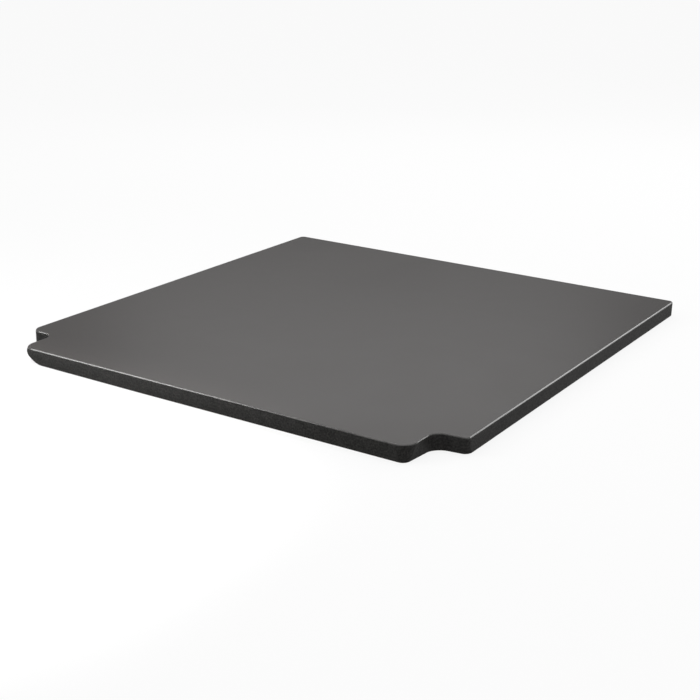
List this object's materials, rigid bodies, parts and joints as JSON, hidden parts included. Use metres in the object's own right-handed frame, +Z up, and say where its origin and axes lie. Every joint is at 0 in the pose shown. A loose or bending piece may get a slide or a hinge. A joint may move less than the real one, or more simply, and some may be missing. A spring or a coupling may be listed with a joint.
{
  "type": "pizza stone",
  "caption": "Flat rectangular pizza stone of glazed cordierite with both front corners notched, for baking on a grill or oven rack.",
  "frame": {"origin": "middle of the underside, on the surface that the stone rests on", "axes": "+X along the notched front edge from its left end to its right end, +Y from the front edge to the back, +Z up through the cooking face"},
  "size_m": [0.4, 0.416, 0.013],
  "materials": {
    "cordierite": "matte",
    "satin_glaze": "satin",
    "matte_glaze": "matte"
  },
  "bodies": {
    "root": {"cordierite_slab": "cordierite", "top_glaze": "satin_glaze", "edge_glaze": "matte_glaze"}
  },
  "joints": []
}
